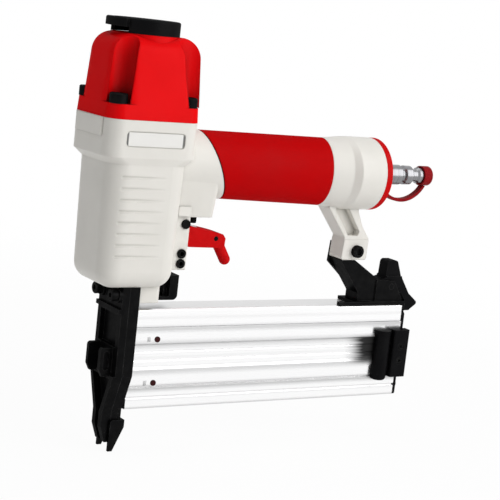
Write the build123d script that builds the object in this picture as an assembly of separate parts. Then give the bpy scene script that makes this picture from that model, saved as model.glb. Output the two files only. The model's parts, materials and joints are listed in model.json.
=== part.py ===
from build123d import *
import math
import os

# Pneumatic brad nailer. Millimetres. X runs back along the handle, Y to the right, Z up the drive axis.
# The origin is the point where a brad leaves the resting contact foot.

# Clearances
seat_gap = 0.05
running_gap = 0.05
sliding_gap = 0.3
flat_gap = 0.15

# Heights along the drive axis
nose_exit = 5.0
contact_travel = 4.5
magazine_bottom = 24.5
cover_height = 47.5
rail_height = 10.7
barrel_rise = 13.5
barrel_height = 73.1
head_depth = 20.4
cap_height = 45.0
deflector_height = 8.0

# Head, cap and exhaust deflector
head_length = 56.4
head_width = 49.2
head_corner = 9.0
head_chamfer = 4.0
cap_draft = 4.0
cap_shoulder = 11.5
cap_dome_corner = 15.5
cap_lobe = 3.6
cap_lobe_width = 30.0
cap_lobe_corner = 6.0
cap_screw_x = 22.0
cap_rear_screw_x = 20.8
cap_screw_y = 18.5
cap_groove_length = 9.0
cap_groove_width = 5.4
cap_flange = 8.0
cap_roof = 7.0
cap_bore = 17.5
head_valve_bore = 15.2
exhaust_hole_radius = 2.0
exhaust_circle = 9.0
exhaust_holes = 6
deflector_radius = 19.0
deflector_wall = 2.0
deflector_visor = 3.0
deflector_roof = 4.8
mouth_angle = 68.0
m5_radius = 2.5
m5_head_radius = 5.0
m5_head_height = 5.5
m5_socket = 4.0
cap_screw_length = 26.0
m4_radius = 2.0
m4_head_radius = 3.5
m4_head_height = 4.0
m4_socket = 3.0
small_screw_radius = 1.25
small_head_radius = 2.3
small_head_height = 2.0
small_socket = 2.0
deflector_screw_length = 11.0

# Barrel and drive train
barrel_length = 48.4
barrel_width = 47.0
barrel_corner = 11.5
barrel_draft = 1.0
barrel_rounding = 10.0
body_bore = 20.0
barrel_floor = 5.5
groove_count = 8
groove_pitch = 6.23
groove_depth = 0.55
groove_radius = 1.0
groove_length = 28.0
groove_inset = 7.2
groove_first = 6.8
label_length = 35.8
label_height = 8.2
label_depth = 0.6
front_pad_width = 31.0
front_pad_height = 10.0
front_pad_depth = 1.4
sleeve_bore = 14.0
sleeve_wall = 2.0
sleeve_height = 106.0
sleeve_collar_height = 6.0
sleeve_collar_drop = 32.0
bumper_height = 18.0
bumper_hole = 6.2
piston_height = 12.0
piston_boss_radius = 5.0
piston_boss_height = 6.0
blade_thickness = 1.4
blade_width = 3.4
blade_seat = 5.0
blade_reach = 0.5
blade_rest = 78.0
blade_pin_radius = 1.0
ring_radius = 1.0
head_valve_height = 10.0
head_valve_hole = 5.0

# Handle, end cap and air inlet
handle_width = 33.2
handle_front_top_rise = 88.1
handle_front_bottom_rise = 50.3
handle_rear_top_rise = 87.3
handle_rear_bottom_rise = 46.7
handle_end = 125.0
grip_thickness = 2.8
grip_seam_top = 39.0
grip_seam_bottom = 57.0
grip_seam_gap = 0.9
air_bore = 10.5
tail_rise = 66.8
tail_radius = 22.0
tail_length = 21.9
collar_length = 13.8
collar_width = 38.0
collar_height = 43.6
collar_blend = 4.0
end_screw_offset = 13.6
end_screw_length = 28.0
gasket_thickness = 1.2
gasket_width = 2.5
tail_ring_width = 4.0
tail_ring_thickness = 4.5
plug_thread_radius = 6.4
plug_thread_length = 5.0
plug_hex = 13.0
plug_hex_length = 10.5
plug_collar_radius = 6.2
plug_collar_length = 14.8
plug_length = 46.5
plug_bore = 3.0
plug_tip_radius = 5.0
dust_cap_wall = 0.95
dust_cap_length = 6.6
dust_cap_cover = 1.6
strap_thickness = 2.0
strap_width = 4.0
strap_sag = 8.0
strap_ring_radius = 8.6

# Arm, rear bracket and latch
arm_half_width = 6.5
arm_pocket_depth = 5.5
arm_front = 7.4
arm_root = 15.7
arm_step = 0.3
arm_step_rise = 6.9
bracket_plate = 2.0
bracket_base = 2.0
bracket_half_width = 9.4
bracket_neck = 10.4
bracket_tongue = 11.6
bracket_flange = 1.6
bracket_tongue_width = 3.2
bolt_x = 155.9
bolt_rise = 19.7
bolt_head_radius = 3.75
nut_height = 4.0
nut_width = 8.0
latch_half_width = 5.2
latch_reach = 23.9
latch_finger_height = 15.9
latch_finger_foot = 6.0
hook_clearance = 0.4
latch_finger_half_width = 4.2
latch_x = 186.0
latch_rise = 11.0
latch_pin_radius = 1.8
latch_notch = 2.0
latch_coil_radius = 3.2
latch_wire = 0.9

# Trigger, trigger valve and contact trip
web_half_width = 11.0
web_rear = 34.8
web_rise = 9.2
valve_housing_rear = 50.0
valve_housing_rise = 39.5
valve_housing_flare = 4.0
bay_half_width = 7.5
bay_front = 25.0
trigger_x = 31.4
trigger_rise = 35.5
trigger_half_width = 7.0
trigger_grip_start = 20.0
trigger_eye = 3.8
hook_radius = 3.3
hook_root = (29.1, 13.0)
hook_tip = (34.8, 22.2)
cross_pin_radius = 2.6
cross_pin_proud = 1.2
guide_pin_x = 30.5
guide_pin_upper_rise = 18.6
guide_pin_lower_rise = 12.9
lever_x = 54.9
lever_rise = 26.6
lever_half_width = 2.6
lever_slot_half_width = 3.2
lever_eye = 3.0
lever_pin_radius = 1.4
lever_thickness = 2.2
valve_x = 42.0
valve_radius = 6.0
valve_length = 8.0
valve_depth = 16.0
stem_radius = 2.3
stem_collar_radius = 3.4
stem_collar = 1.2
stem_below = 5.0
valve_coil_radius = 2.6
valve_wire = 0.7

# Nose and contact trip
nose_half_width = 14.2
nose_tip_half_width = 5.6
nose_front = -5.4
nose_split = -0.9
nose_rear = 5.3
nose_taper_top = 45.3
front_rim = 3.7
front_pocket = 3.0
keel_reach = 1.6
keel_bevel = 9.0
window_bottom = 61.5
window_top = 80.0
crossbar_bottom = 43.5
ear_offset = 7.5
ear_thickness = 2.4
ear_reach = 7.6
ear_bottom = 44.5
ear_height = 16.5
lip_height = 2.5
lip_reach = 1.6
nose_screw_y = 9.8
nose_screw_drop = 5.0
nose_screw_length = 22.0
nose_boss_radius = 4.4
nose_boss_reach = 1.8
mount_half_width = 13.0
mount_rear = 19.0
mount_drop = 9.3
prong_inner = 2.6
prong_outer = 5.8
prong_thickness = 2.0
strip_thickness = 1.5
strip_cover = 0.2
foot_cheek = 1.7
foot_height = 18.2
foot_rear_wall = 1.3
foot_front = -2.0
foot_tip_rear = 0.6
foot_slope_top = 14.0
yoke_half_width = 7.2
yoke_front = 27.6
yoke_rear = 33.0
yoke_rise = 5.3
yoke_rounding = 3.0
finger_front = 25.3
finger_thickness = 2.0
finger_half_width = 4.0
finger_rise = 25.0
contact_coil_x = 22.0
contact_coil_radius = 2.4
contact_wire = 0.8

# Magazine
rail_half_width = 9.3
rail_rear = 194.8
fin_near = 1.0
fin_far = 3.0
cover_half_width = 8.6
cover_rear = 196.0
cover_floor = 2.2
brad_slot = 1.0
tongue_y = 4.4
tongue_neck = 1.1
tongue_head = 3.4
tongue_neck_height = 3.5
tongue_head_height = 2.2
step_depth = 0.9
band_heights = (6.0, 13.0, 23.0, 38.0)
band_groove = 1.2
pusher_channel_bottom = 47.5
pusher_channel_top = 61.5
pusher_channel_depth = 6.4
pusher_length = 20.0
pusher_plate = 6.0
pusher_plate_bottom = 29.0
pusher_plate_top = 70.0
feed_roll_radius = 4.6
feed_roll_hole = 2.4
feed_ribbon = 0.3
end_plate_thickness = 2.0
plate_screw_length = 9.0
plate_screw_low = 6.0
plate_screw_high = 22.0
plate_screw_inset = 2.6
block_front = 177.0
block_shoulder = 188.0
block_rear = 199.8
block_roll = 5.0
block_roll_drop = 2.2
block_reach = 5.8
block_bottom = 37.5
block_top = 67.5
rivet_x = 22.3
rivet_radius = 1.7
rivet_proud = 0.4
rivet_heights = (15.0, 40.5)
rivet_length = 4.0
punch_offset = 5.2
punch_width = 1.4
punch_height = 2.6
punch_depth = 0.7
block_screw_x = 194.0
block_screw_heights = (48.0, 57.0)
block_screw_length = 10.0
rail_screw_y = 7.6
rail_screw_length = 16.0


def block(x, y, z):
    """Box between the low and high value of each axis."""
    spans = (x, y, z)
    size = [high - low for low, high in spans]
    centre = [(low + high) / 2 for low, high in spans]
    return Pos(*centre) * Box(*size)


def rod(axis, radius, span, across):
    """Cylinder along an axis. The two values of across place it on the other two axes, in X, Y, Z order."""
    middle = sum(span) / 2
    length = span[1] - span[0]
    turn = {"X": Rot(0, 90, 0), "Y": Rot(90, 0, 0), "Z": Rot(0, 0, 0)}[axis]
    place = {
        "X": (middle, across[0], across[1]),
        "Y": (across[0], middle, across[1]),
        "Z": (across[0], across[1], middle),
    }[axis]
    return Pos(*place) * turn * Cylinder(radius, length)


def tube(axis, outer, inner, span, across):
    """Hollow cylinder along an axis."""
    return rod(axis, outer, span, across) - rod(axis, inner, span, across)


def slab_y(points, y):
    """Outline of X and Z points, carried across Y between two values."""
    outline = make_face(Polyline(*[(px, y[0], pz) for px, pz in points], close=True))
    return extrude(outline, amount=y[1] - y[0], dir=(0, 1, 0))


def slab_x(points, x):
    """Outline of Y and Z points, carried along X between two values."""
    outline = make_face(Polyline(*[(x[0], py, pz) for py, pz in points], close=True))
    return extrude(outline, amount=x[1] - x[0], dir=(1, 0, 0))


def both_sides(part):
    """The part and its mirror image in the plane of symmetry."""
    return part + mirror(part, about=Plane.XZ)


def oval(x, top, bottom, width):
    """Upright oval section across the handle."""
    plane = Plane(origin=(x, 0, (top + bottom) / 2), x_dir=(0, 1, 0), z_dir=(1, 0, 0))
    return plane * Ellipse(width / 2, (top - bottom) / 2)


def screw(head_radius, head_height, shank_radius, length, socket):
    """Socket screw with its seat at the origin, head up and shank down."""
    head = rod("Z", head_radius, (0, head_height), (0, 0))
    head = chamfer(head.edges().group_by(Axis.Z)[-1], head_height / 10)
    hexagon = Pos(0, 0, head_height / 2) * RegularPolygon(socket / 2, 6, major_radius=False)
    shank = rod("Z", shank_radius, (-length, 0), (0, 0))
    return head - extrude(hexagon, amount=head_height) + shank


def small_screw(length):
    """Socket screw of the smallest size."""
    return screw(small_head_radius, small_head_height, small_screw_radius, length, small_socket)


def coil(radius, wire, height, turns):
    """Compression spring standing on the origin along Z, wire inside the height."""
    rise = height - wire
    path = Helix(pitch=rise / turns, height=rise, radius=radius)
    section = Plane(origin=path @ 0, z_dir=path % 0) * Circle(wire / 2)
    return Pos(0, 0, wire / 2) * sweep(section, path=path, is_frenet=True)


def save(name, part):
    """Write one node."""
    part.label = name
    export_step(part, os.path.join("parts", name + ".step"))


os.makedirs("parts", exist_ok=True)

# Levels that follow from the heights
cover_top = magazine_bottom + cover_height
rail_bottom = cover_top + sliding_gap
rail_top = rail_bottom + rail_height
barrel_bottom = rail_top + barrel_rise
handle_front_top = barrel_bottom + handle_front_top_rise
handle_front_bottom = barrel_bottom + handle_front_bottom_rise
handle_rear_top = barrel_bottom + handle_rear_top_rise
handle_rear_bottom = barrel_bottom + handle_rear_bottom_rise
tail_z = barrel_bottom + tail_rise
bolt_z = barrel_bottom + bolt_rise
web_bottom = barrel_bottom + web_rise
valve_housing_bottom = barrel_bottom + valve_housing_rise
trigger_z = barrel_bottom + trigger_rise
guide_pin_upper = barrel_bottom + guide_pin_upper_rise
guide_pin_lower = barrel_bottom + guide_pin_lower_rise
lever_z = barrel_bottom + lever_rise
yoke_top = barrel_bottom + yoke_rise
finger_top = barrel_bottom + finger_rise
nose_screw_z = barrel_bottom - nose_screw_drop
mount_bottom = barrel_bottom - mount_drop
latch_z = rail_top + latch_rise
barrel_top = barrel_bottom + barrel_height
cap_seat = barrel_top + head_depth
cap_top = cap_seat + cap_height
cap_ceiling = cap_top - cap_roof
sleeve_bottom = barrel_bottom + barrel_floor
sleeve_top = sleeve_bottom + sleeve_height
sleeve_radius = sleeve_bore + sleeve_wall
bumper_top = sleeve_bottom + bumper_height
blade_low = nose_exit - blade_reach
stroke = blade_rest - blade_low
piston_bottom = bumper_top + sliding_gap + stroke
piston_top = piston_bottom + piston_height
cap_corners = [(x, side * cap_screw_y) for x in (-cap_screw_x, cap_rear_screw_x) for side in (-1, 1)]

# Cylinder cap: drafted block with round shoulders and a lobe to the rear, a groove down each corner
# for its screw, stepped bore inside
lean = math.tan(math.radians(cap_draft))
screw_ledge = cap_seat + cap_flange
flange_plan = Pos(0, 0, cap_seat) * RectangleRounded(head_length, head_width, head_corner)
dome_length = head_length + cap_lobe - 2 * cap_flange * lean
dome_width = head_width - 2 * cap_flange * lean
dome_plan = Pos(cap_lobe / 2, 0, screw_ledge) * RectangleRounded(dome_length, dome_width, cap_dome_corner)
lobe_section = RectangleRounded(head_length + cap_lobe, cap_lobe_width, cap_lobe_corner)
lobe_plan = Pos(cap_lobe / 2, 0, cap_seat) * lobe_section
dome = extrude(dome_plan, amount=cap_top - screw_ledge, taper=cap_draft)
dome = fillet(dome.edges().group_by(Axis.Z)[-1], cap_shoulder)
cylinder_cap = extrude(flange_plan, amount=cap_flange, taper=cap_draft) + dome
cylinder_cap += extrude(lobe_plan, amount=cap_flange, taper=cap_draft)
cylinder_cap += rod("Z", deflector_radius, (cap_top - cap_roof, cap_top), (0, 0))
for corner_x, corner_y in cap_corners:
    groove = Pos(corner_x, corner_y, screw_ledge) * Ellipse(cap_groove_length, cap_groove_width)
    cylinder_cap -= extrude(groove, amount=cap_height)
    cylinder_cap -= rod("Z", m5_radius + seat_gap, (cap_seat, screw_ledge), (corner_x, corner_y))
head_valve_bottom = sleeve_top + sliding_gap
cylinder_cap -= rod("Z", cap_bore, (cap_seat, head_valve_bottom + ring_radius), (0, 0))
cylinder_cap -= rod("Z", head_valve_bore, (cap_seat, cap_ceiling), (0, 0))
cylinder_cap -= rod("Z", m4_radius + seat_gap, (cap_ceiling, cap_top), (0, 0))
for place in PolarLocations(exhaust_circle, exhaust_holes):
    cylinder_cap -= place * Pos(0, 0, cap_top) * Cylinder(exhaust_hole_radius, 4 * cap_roof)
save("cylinder_cap", cylinder_cap)

cap_screw = screw(m5_head_radius, m5_head_height, m5_radius, cap_screw_length, m5_socket)
save("cap_screws", Compound([Pos(x, y, screw_ledge) * cap_screw for x, y in cap_corners]))

# Exhaust deflector: round turret with an open mouth under a visor, held by one screw in the cap's roof
deflector_bottom = cap_top + flat_gap
deflector_top = cap_top + deflector_height
deflector_ceiling = deflector_top - deflector_roof
visor_radius = deflector_radius + deflector_visor
half_mouth = math.radians(mouth_angle / 2)
mouth_side = 2 * visor_radius * math.tan(half_mouth)
mouth_corners = [(0, 0), (-2 * visor_radius, mouth_side), (-2 * visor_radius, -mouth_side)]
mouth_plan = make_face(Polyline(*mouth_corners, close=True))
mouth = extrude(Pos(0, 0, deflector_bottom) * mouth_plan, amount=deflector_height)
turret = rod("Z", deflector_radius, (deflector_bottom, deflector_top), (0, 0))
turret += rod("Z", visor_radius, (deflector_ceiling, deflector_top), (0, 0)) & mouth
turret = fillet(turret.edges().group_by(Axis.Z)[-1], 1.2)
hub_radius = m4_head_radius + deflector_wall
hollow_radius = deflector_radius - deflector_wall
hollow = tube("Z", hollow_radius, hub_radius, (deflector_bottom, deflector_ceiling), (0, 0))
cut_mouth = tube("Z", 2 * visor_radius, hub_radius, (deflector_bottom, deflector_ceiling), (0, 0)) & mouth
screw_seat = deflector_top - small_head_height - flat_gap
turret -= hollow + cut_mouth
turret -= rod("Z", m4_head_radius + sliding_gap, (screw_seat - flat_gap, deflector_top), (0, 0))
turret -= rod("Z", m4_radius + running_gap, (deflector_bottom, deflector_top), (0, 0))
save("exhaust_deflector", turret)
deflector_screw = screw(m4_head_radius, small_head_height, m4_radius, deflector_screw_length, m4_socket)
save("deflector_screw", Pos(0, 0, screw_seat) * deflector_screw)

# Head valve: flat piston that seals the top of the sleeve, with its ring and return spring
valve_span = (head_valve_bottom, head_valve_bottom + head_valve_height)
valve_skirt = head_valve_bore - 2 * ring_radius / 10
head_valve = rod("Z", valve_skirt, valve_span, (0, 0)) - rod("Z", head_valve_hole, valve_span, (0, 0))
ring_z = sum(valve_span) / 2
ring_seat = valve_skirt - 2 * ring_radius
ring_slot = (ring_z - ring_radius - seat_gap, ring_z + ring_radius + seat_gap)
head_valve -= tube("Z", head_valve_bore, ring_seat - seat_gap, ring_slot, (0, 0))
save("head_valve", head_valve)
save("head_valve_ring", Pos(0, 0, ring_z) * Torus(ring_seat + ring_radius, ring_radius))
spring_room = cap_ceiling - valve_span[1]
save("head_valve_spring", Pos(0, 0, valve_span[1]) * coil(head_valve_bore - 3, 1.4, spring_room, 3.5))

# Cylinder sleeve with its collar and ring, and the bumper at its foot
collar_top = sleeve_top - sleeve_collar_drop
collar_span = (collar_top - sleeve_collar_height, collar_top)
sleeve = rod("Z", sleeve_radius, (sleeve_bottom, sleeve_top), (0, 0))
sleeve += rod("Z", body_bore - seat_gap, collar_span, (0, 0))
sleeve -= rod("Z", sleeve_bore, (sleeve_bottom, sleeve_top), (0, 0))
collar_ring_z = sum(collar_span) / 2
collar_slot = (collar_ring_z - ring_radius - seat_gap, collar_ring_z + ring_radius + seat_gap)
collar_seat = body_bore - 2 * seat_gap - 2 * ring_radius
sleeve -= tube("Z", body_bore, collar_seat - seat_gap, collar_slot, (0, 0))
save("cylinder_sleeve", sleeve)
save("sleeve_ring", Pos(0, 0, collar_ring_z) * Torus(collar_seat + ring_radius, ring_radius))
bumper_radius = sleeve_bore - flat_gap
save("bumper", tube("Z", bumper_radius, bumper_hole, (sleeve_bottom, bumper_top), (0, 0)))

# Drive piston, its ring, the driver blade and the pin that holds the blade
piston_radius = sleeve_bore - 2 * running_gap
boss_bottom = piston_bottom - piston_boss_height
blade_top = piston_bottom + blade_seat
piston = rod("Z", piston_radius, (piston_bottom, piston_top), (0, 0))
piston += rod("Z", piston_boss_radius, (boss_bottom, piston_bottom), (0, 0))
blade_half = (blade_thickness / 2, blade_width / 2)
blade_hole = (blade_half[0] + seat_gap, blade_half[1] + seat_gap)
hole_span = (boss_bottom, blade_top + seat_gap)
piston -= block((-blade_hole[0], blade_hole[0]), (-blade_hole[1], blade_hole[1]), hole_span)
pin_z = boss_bottom + piston_boss_height / 2
pin_span = (-piston_boss_radius, piston_boss_radius)
piston -= rod("X", blade_pin_radius + seat_gap, pin_span, (0, pin_z))
piston_ring_z = (piston_bottom + piston_top) / 2 + blade_seat / 2
piston_slot = (piston_ring_z - ring_radius - seat_gap, piston_ring_z + ring_radius + seat_gap)
piston_seat = piston_radius - 2 * ring_radius
piston -= tube("Z", sleeve_bore, piston_seat - seat_gap, piston_slot, (0, 0))
save("drive_piston", piston)
save("piston_ring", Pos(0, 0, piston_ring_z) * Torus(piston_seat + ring_radius, ring_radius))
blade = block((-blade_half[0], blade_half[0]), (-blade_half[1], blade_half[1]), (blade_rest, blade_top))
blade -= rod("X", blade_pin_radius + seat_gap, pin_span, (0, pin_z))
save("driver_blade", blade)
pin_reach = piston_boss_radius - sliding_gap
save("blade_pin", rod("X", blade_pin_radius, (-pin_reach, pin_reach), (0, pin_z)))

# Handle sections shared by the body and the grip
handle_front_x = barrel_length / 4
half_space_top = cap_seat + cap_height
seam_run = (grip_seam_bottom - grip_seam_top) / (handle_front_top - handle_rear_bottom)


def handle_shape(inset):
    """Handle from inside the barrel to its rear end, thinner by the inset all round."""
    width = handle_width - 2 * inset
    front = oval(handle_front_x, handle_front_top - inset, handle_front_bottom + inset, width)
    rear = oval(handle_end, handle_rear_top - inset, handle_rear_bottom + inset, width)
    return loft([front, rear])


def ahead_of_seam(shift):
    """Space ahead of the sloping seam between body and grip."""
    top_x = grip_seam_top + shift - seam_run * (half_space_top - handle_front_top)
    bottom_x = grip_seam_bottom + shift + seam_run * (handle_rear_bottom - barrel_bottom)
    points = [
        (-head_length, half_space_top),
        (top_x, half_space_top),
        (bottom_x, barrel_bottom),
        (-head_length, barrel_bottom),
    ]
    return slab_y(points, (-head_width, head_width))


# Body housing: head block, barrel, trigger web, valve housing, nose mount and the tube inside the grip
head_foot = barrel_top - head_chamfer
barrel_section = RectangleRounded(barrel_length, barrel_width, barrel_corner)
head_section = RectangleRounded(head_length, head_width, head_corner)
barrel_plane = Plane(origin=(0, 0, head_foot), z_dir=(0, 0, -1))
barrel = extrude(barrel_plane * barrel_section, amount=head_foot - barrel_bottom, taper=barrel_draft)
barrel = fillet(barrel.edges().group_by(Axis.Z)[0], barrel_rounding)
side_lean = math.tan(math.radians(barrel_draft))
bend_x = barrel_corner - barrel_length / 2
bend_y = barrel_width / 2 - barrel_corner
for index in range(groove_count):
    groove_z = head_foot - groove_first - index * groove_pitch
    turn_radius = barrel_corner - (head_foot - groove_z) * side_lean + groove_radius - groove_depth
    turned = math.asin((barrel_corner - groove_inset) / turn_radius)
    bend = [
        (bend_x - turn_radius * math.sin(angle), bend_y + turn_radius * math.cos(angle), groove_z)
        for angle in (turned, turned / 2, 0)
    ]
    groove_end = groove_inset + groove_length - barrel_length / 2
    run_out = (groove_end, bend_y + turn_radius + groove_depth, groove_z)
    groove_path = Wire([ThreePointArc(*bend), TangentArc(bend[2], run_out, tangent=(1, 0, 0))])
    groove_section = Plane(origin=groove_path @ 0, z_dir=groove_path % 0) * Circle(groove_radius)
    side_groove = sweep(groove_section, path=groove_path) + Pos(*bend[0]) * Sphere(groove_radius)
    barrel -= both_sides(side_groove)
body = barrel + loft([Pos(0, 0, head_foot) * barrel_section, Pos(0, 0, barrel_top) * head_section])
body += extrude(Pos(0, 0, barrel_top) * head_section, amount=head_depth)
pad_half = front_pad_width / 2
pad_rise = (cap_seat - front_pad_height, cap_seat)
front_pad = block((-head_length / 2 - front_pad_depth, 0), (-pad_half, pad_half), pad_rise)
front_edges = front_pad.edges().filter_by(Axis.Z).group_by(Axis.X)[0]
body += chamfer(front_edges, front_pad_depth * 0.3)
label_middle = barrel_top + head_depth / 2
label_low = label_middle - label_height / 2
label_recess = block(
    (-label_length / 2, label_length / 2),
    (head_width / 2 - label_depth, head_width),
    (label_low, label_low + label_height),
)
body -= both_sides(fillet(label_recess.edges().filter_by(Axis.Y), label_height / 4))
web_top = handle_front_bottom + grip_thickness
web = block((0, web_rear), (-web_half_width, web_half_width), (web_bottom, web_top))
body += fillet(web.edges().filter_by(Axis.Z).group_by(Axis.X)[-1], 1.5)
flare_half_width = web_half_width + valve_housing_flare
handle_half_height = (handle_front_top - handle_front_bottom) / 2
flare_share = math.sqrt(1 - (2 * flare_half_width / handle_width) ** 2)
housing_top = handle_front_bottom + handle_half_height * (1 - flare_share)
housing_plans = [
    Pos(valve_housing_rear / 2, 0, level) * RectangleRounded(valve_housing_rear, width, 4)
    for level, width in (
        (valve_housing_bottom, 2 * web_half_width),
        (housing_top, 2 * flare_half_width),
    )
]
body += loft(housing_plans)
pad_side = block(
    (bay_front, web_rear - 1.4),
    (web_half_width - 1, web_half_width + valve_housing_flare / 2),
    (valve_housing_bottom + 0.6, valve_housing_bottom + 6.4),
)
body += both_sides(fillet(pad_side.edges().filter_by(Axis.Y), 1))
mount = block(
    (nose_rear, mount_rear),
    (-mount_half_width, mount_half_width),
    (mount_bottom, barrel_bottom + barrel_floor / 2),
)
body += fillet(mount.edges().filter_by(Axis.Z).group_by(Axis.X)[-1], 3)
handle_outer = handle_shape(0)
handle_tube = handle_shape(grip_thickness)
body += handle_outer & ahead_of_seam(0)
body += handle_tube
handle_axis = (handle_rear_top + handle_rear_bottom) / 2
body -= rod("X", air_bore, (0, handle_end), (0, handle_axis))
body -= rod("Z", body_bore, (sleeve_bottom, cap_seat), (0, 0))
gasket_radius = body_bore + 1.5
gasket_depth = 1.5
body -= rod("Z", gasket_radius, (cap_seat - gasket_depth, cap_seat), (0, 0))
blade_way = blade_half[0] + 2 * sliding_gap
body -= block(
    (-blade_way, blade_way),
    (-blade_half[1] - 2 * sliding_gap, blade_half[1] + 2 * sliding_gap),
    (barrel_bottom, sleeve_bottom),
)
screw_tip = screw_ledge - cap_screw_length
for corner_x, corner_y in cap_corners:
    body -= rod("Z", m5_radius + seat_gap, (screw_tip - 0.5, cap_seat), (corner_x, corner_y))
bay_rear = valve_x - valve_radius - 0.6
bay_roof = valve_housing_bottom + sliding_gap
body -= block((bay_front, bay_rear), (-bay_half_width, bay_half_width), (web_bottom, bay_roof))
cross_pins = [(trigger_x, trigger_z), (guide_pin_x, guide_pin_upper), (guide_pin_x, guide_pin_lower)]
pin_half = web_half_width + cross_pin_proud
for pin_place in cross_pins:
    body -= rod("Y", cross_pin_radius + seat_gap, (-pin_half, pin_half), pin_place)
valve_roof = valve_housing_bottom + valve_depth
body -= rod("Z", valve_radius + seat_gap, (valve_housing_bottom, valve_roof), (valve_x, 0))
body -= rod("Z", stem_radius, (valve_roof, handle_axis), (valve_x, 0))
channel_half = prong_outer + 2 * sliding_gap
channel_top = mount_bottom + prong_thickness + contact_travel + 2 * sliding_gap
body -= block((nose_rear, mount_rear), (-channel_half, channel_half), (mount_bottom, channel_top))
contact_coil_top = sleeve_bottom - 1
coil_room = contact_coil_radius + contact_wire
body -= rod("Z", coil_room, (mount_bottom, contact_coil_top), (contact_coil_x, 0))
for side in (-1, 1):
    screw_line = (side * nose_screw_y, nose_screw_z)
    screw_stop = nose_front - nose_boss_reach + nose_screw_length + 0.5
    body -= rod("X", m4_radius + seat_gap, (nose_rear, screw_stop), screw_line)
for side in (-1, 1):
    screw_line = (0, tail_z + side * end_screw_offset)
    body -= rod("X", m4_radius + seat_gap, (handle_end - 10, handle_end), screw_line)
save("body_housing", body)
gasket_rise = (cap_seat - gasket_depth, cap_seat)
save("cap_gasket", tube("Z", gasket_radius - seat_gap, body_bore, gasket_rise, (0, 0)))

# Soft grip over the handle tube
grip = handle_outer - handle_shape(grip_thickness - seat_gap) - ahead_of_seam(grip_seam_gap)
save("grip_sleeve", grip)

# End cap: collar, round drum and the arm that carries the rear of the magazine
collar_end = handle_end + collar_length
tail_end = collar_end + tail_length
collar_front = oval(handle_end, handle_rear_top, handle_rear_bottom, handle_width)
collar_rear = oval(collar_end, tail_z + collar_height / 2, tail_z - collar_height / 2, collar_width)
end_cap = loft([collar_front, collar_rear])
drum_front = collar_end + collar_blend
drum_rim = oval(drum_front, tail_z + tail_radius, tail_z - tail_radius, 2 * tail_radius)
end_cap += loft([collar_rear, drum_rim])
end_cap += rod("X", tail_radius, (drum_front, tail_end), (0, tail_z))
arm_foot = bolt_z - 5.5
arm_points = [
    (handle_end + arm_front, tail_z - 15),
    (handle_end + arm_front, handle_rear_bottom - 1),
    (bolt_x - 9.7, bolt_z + 8.4),
    (bolt_x - 10.6, arm_foot),
    (bolt_x + 8.1, arm_foot),
    (bolt_x + 8.5, bolt_z + 7.8),
    (bolt_x + 2.6, bolt_z + 15.3),
    (collar_end + arm_root, tail_z - tail_radius - 1),
    (collar_end + arm_root, tail_z - 15),
]
arm = slab_y(arm_points, (-arm_half_width, arm_half_width))
arm = fillet(arm.edges().filter_by(Axis.Y).filter_by(lambda e: abs(e.center().Z - bolt_z) < 9), 1.5)
step_side = (arm_half_width - arm_step, arm_half_width)
step_run = (handle_end, bolt_x + 2 * arm_half_width)
arm -= both_sides(block(step_run, step_side, (bolt_z + arm_step_rise, tail_z)))
pocket_top = tail_z - tail_radius + 1.5
pocket_points = [
    (handle_end + arm_front + 3.6, pocket_top),
    (collar_end + arm_root / 2, pocket_top),
    (bolt_x + 0.7, bolt_z + 12.3),
    (bolt_x + 0.1, bolt_z + 9.5),
    (bolt_x - 7.4, bolt_z + 9.5),
]
pocket = slab_y(pocket_points, (arm_half_width - arm_pocket_depth, arm_half_width))
end_cap += arm - both_sides(fillet(pocket.edges().filter_by(Axis.Y), 1.2))
inlet_bore = air_bore - 1.5
thread_front = tail_end - plug_thread_length
end_cap -= rod("X", inlet_bore, (handle_end, thread_front), (0, tail_z))
end_cap -= rod("X", plug_thread_radius + seat_gap, (thread_front, tail_end), (0, tail_z))
gasket_outer = inlet_bore + gasket_width
end_cap -= rod("X", gasket_outer, (handle_end, handle_end + gasket_thickness), (0, tail_z))
end_screw_seat = handle_end + end_screw_length - 8
for side in (-1, 1):
    screw_line = (0, tail_z + side * end_screw_offset)
    end_cap -= rod("X", m4_radius + seat_gap, (handle_end, end_screw_seat), screw_line)
    end_cap -= rod("X", m4_head_radius + sliding_gap, (end_screw_seat, tail_end), screw_line)
end_cap -= rod("Y", m5_radius + seat_gap, (-arm_half_width, arm_half_width), (bolt_x, bolt_z))
save("end_cap", end_cap)
gasket_span = (handle_end, handle_end + gasket_thickness)
save("end_cap_gasket", tube("X", gasket_outer - seat_gap, inlet_bore + seat_gap, gasket_span, (0, tail_z)))
end_screw = Rot(0, 90, 0) * screw(m4_head_radius, m4_head_height, m4_radius, end_screw_length, m4_socket)
end_places = [Pos(end_screw_seat, 0, tail_z + side * end_screw_offset) for side in (-1, 1)]
save("end_cap_screws", Compound([place * end_screw for place in end_places]))
ring_span = (tail_end, tail_end + tail_ring_thickness)
tail_ring = tube("X", tail_radius, tail_radius - tail_ring_width, ring_span, (0, tail_z))
save("tail_ring", fillet(tail_ring.edges().group_by(Axis.X)[-1].sort_by(SortBy.LENGTH)[-1], 0.8))

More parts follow.
